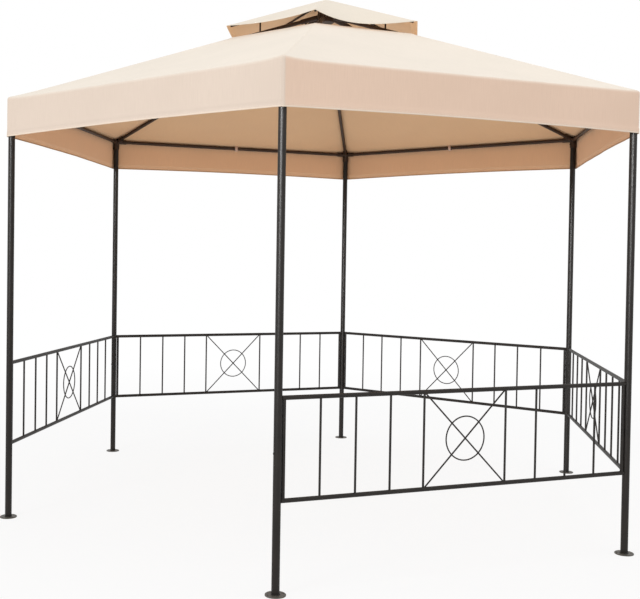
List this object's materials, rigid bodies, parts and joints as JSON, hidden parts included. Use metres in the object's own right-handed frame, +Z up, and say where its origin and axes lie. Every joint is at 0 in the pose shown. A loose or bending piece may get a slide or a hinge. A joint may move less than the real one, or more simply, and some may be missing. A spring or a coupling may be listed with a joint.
{
  "type": "garden gazebo",
  "caption": "Hexagonal garden gazebo with a steel tube frame, low railings with an open entrance side, and a tiered fabric roof with a valance and a vent under its raised top.",
  "frame": {"origin": "on the ground, at the centre of the hexagon of posts", "axes": "+Z up; two posts stand on the X axis; the open entrance side faces -Y"},
  "size_m": [3.31, 2.877, 2.6208],
  "materials": {
    "powder_coated_steel": "satin powder coat",
    "canopy_fabric": "matt coated polyester"
  },
  "bodies": {
    "root": {"right_post": "powder_coated_steel", "back_right_post": "powder_coated_steel", "back_left_post": "powder_coated_steel", "left_post": "powder_coated_steel", "front_left_post": "powder_coated_steel", "front_right_post": "powder_coated_steel", "right_rafter": "powder_coated_steel", "back_right_rafter": "powder_coated_steel", "back_left_rafter": "powder_coated_steel", "left_rafter": "powder_coated_steel", "front_left_rafter": "powder_coated_steel", "front_right_rafter": "powder_coated_steel", "back_right_beam": "powder_coated_steel", "back_beam": "powder_coated_steel", "back_left_beam": "powder_coated_steel", "front_left_beam": "powder_coated_steel", "front_beam": "powder_coated_steel", "front_right_beam": "powder_coated_steel", "back_right_railing": "powder_coated_steel", "back_railing": "powder_coated_steel", "back_left_railing": "powder_coated_steel", "front_left_railing": "powder_coated_steel", "front_right_railing": "powder_coated_steel", "back_right_roof_panel": "canopy_fabric", "back_roof_panel": "canopy_fabric", "back_left_roof_panel": "canopy_fabric", "front_left_roof_panel": "canopy_fabric", "front_roof_panel": "canopy_fabric", "front_right_roof_panel": "canopy_fabric", "back_right_valance": "canopy_fabric", "back_valance": "canopy_fabric", "back_left_valance": "canopy_fabric", "front_left_valance": "canopy_fabric", "front_valance": "canopy_fabric", "front_right_valance": "canopy_fabric", "foot_plates": "powder_coated_steel", "corner_brackets": "powder_coated_steel", "crown_hub": "powder_coated_steel", "top_rafters": "powder_coated_steel", "vent_struts": "powder_coated_steel", "top_canopy": "canopy_fabric", "canopy_ties": "canopy_fabric"}
  },
  "joints": []
}
